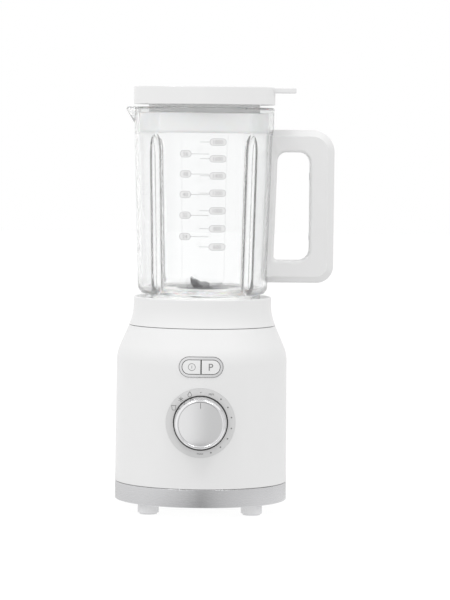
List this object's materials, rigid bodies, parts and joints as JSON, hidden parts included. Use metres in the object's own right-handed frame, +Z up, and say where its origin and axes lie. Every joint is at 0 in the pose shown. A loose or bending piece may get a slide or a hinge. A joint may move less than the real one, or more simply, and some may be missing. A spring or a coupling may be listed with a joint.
{
  "type": "countertop blender",
  "caption": "Countertop blender: round motor base with dial and push buttons, fluted glass jug with side handle on a screw collar, driven blades, press-in lid with filler cap.",
  "frame": {"origin": "where the motor axis meets the surface that the four feet stand on", "axes": "+Z up along the motor axis; the control panel faces -Y; the jug's handle points along +X and its spout along -X"},
  "size_m": [0.2152, 0.1865, 0.4211],
  "materials": {
    "body_white": "satin moulded white",
    "handle_white": "satin moulded white",
    "liner_white": "fine matt",
    "insert_white": "satin moulded white",
    "band_silver": "brushed",
    "panel_grey": "smooth satin",
    "bezel_grey": "metallic satin",
    "chrome_trim": "polished",
    "knob_metal": "spun satin",
    "clear_glass": "polished",
    "silicone": "soft matt",
    "foot_rubber": "matt",
    "steel": "polished",
    "zinc_screws": "plated",
    "inner_plastic": "moulded",
    "black_plastic": "moulded",
    "drive_plastic": "moulded",
    "black_rubber": "matt",
    "board_green": "laminate",
    "component_grey": "moulded",
    "shaft_steel": "ground",
    "bracket_metal": "cast",
    "laminations": "stacked sheet",
    "copper": "enamelled",
    "carbon": "pressed graphite",
    "spring_steel": "drawn wire",
    "bronze": "sintered",
    "magnet": "plated"
  },
  "bodies": {
    "base": {"housing": "body_white", "trim_band": "band_silver", "bottom_cover": "inner_plastic", "feet": "foot_rubber", "fan_shroud": "inner_plastic", "jug_seat": "inner_plastic", "rest_pads": "foot_rubber", "reed_switch": "black_plastic", "base_screws": "zinc_screws", "cord_gland": "black_plastic", "button_bezel": "bezel_grey", "dial_ring": "panel_grey", "tact_switches": "black_plastic", "rotary_switch": "black_plastic", "control_board": "board_green", "board_components": "component_grey", "upper_bracket": "bracket_metal", "lower_bracket": "bracket_metal", "motor_bearings": "shaft_steel", "motor_dampers": "black_rubber", "motor_bolts": "zinc_screws", "stator_core": "laminations", "field_coils": "copper", "brush_holders": "black_plastic", "carbon_brushes": "carbon", "brush_springs": "spring_steel"},
    "rotor": {"motor_shaft": "shaft_steel", "armature_core": "laminations", "armature_windings": "copper", "commutator": "copper", "cooling_fan": "black_plastic", "drive_coupling": "drive_plastic"},
    "knob": {"knob_rim": "chrome_trim", "knob_face": "knob_metal", "knob_hub": "black_plastic", "switch_shaft": "shaft_steel"},
    "power_button": {"power_button": "body_white"},
    "pulse_button": {"pulse_button": "body_white"},
    "blade_unit": {"jug_collar": "body_white", "lock_magnet": "magnet", "neck_gasket": "silicone", "blade_carrier": "inner_plastic", "blade_base_plate": "steel", "blade_bushes": "bronze", "shaft_seal": "black_rubber"},
    "blades": {"driven_coupling": "black_plastic", "blade_shaft": "steel", "shaft_washers": "steel", "lower_blade": "steel", "upper_blade": "steel", "blade_nut": "steel"},
    "jug": {"glass_jug": "clear_glass", "handle": "handle_white", "handle_liner": "liner_white", "handle_screws": "zinc_screws"},
    "lid": {"lid_cover": "body_white", "lid_insert": "insert_white", "lid_gasket": "silicone"},
    "filler_cap": {"filler_cap": "body_white"}
  },
  "joints": [
    {"name": "rotor_spin", "type": "hinge", "parent": "base", "child": "rotor", "pos_m": [0, 0, 0.1], "axis": [0, 0, 1], "continuous": true},
    {"name": "knob_turn", "type": "hinge", "parent": "base", "child": "knob", "pos_m": [0, -0.09, 0.0934], "axis": [0, 1, 0], "range_deg": [-60, 180]},
    {"name": "power_button_press", "type": "slide", "parent": "base", "child": "power_button", "axis": [0, 1, 0], "range_m": [0, 0.0012], "stiffness_N_per_m": 800, "springref_m": -0.0005},
    {"name": "pulse_button_press", "type": "slide", "parent": "base", "child": "pulse_button", "axis": [0, 1, 0], "range_m": [0, 0.0012], "stiffness_N_per_m": 800, "springref_m": -0.0005},
    {"name": "jug_lift", "type": "slide", "parent": "base", "child": "blade_unit", "axis": [0, 0, 1], "range_m": [0, 0.09]},
    {"name": "blade_spin", "type": "hinge", "parent": "blade_unit", "child": "blades", "pos_m": [0, 0, 0.2], "axis": [0, 0, 1], "continuous": true},
    {"name": "jug_unscrew", "type": "hinge", "parent": "blade_unit", "child": "jug", "pos_m": [0, 0, 0.21], "axis": [0, 0, 1], "range_deg": [0, 90]},
    {"name": "lid_lift", "type": "slide", "parent": "jug", "child": "lid", "axis": [0, 0, 1], "range_m": [0, 0.08]},
    {"name": "filler_cap_lift", "type": "slide", "parent": "lid", "child": "filler_cap", "axis": [0, 0, 1], "range_m": [0, 0.05]}
  ],
  "couplings": [
    {"joint": "blade_spin", "follows": "rotor_spin", "ratio": 1}
  ]
}
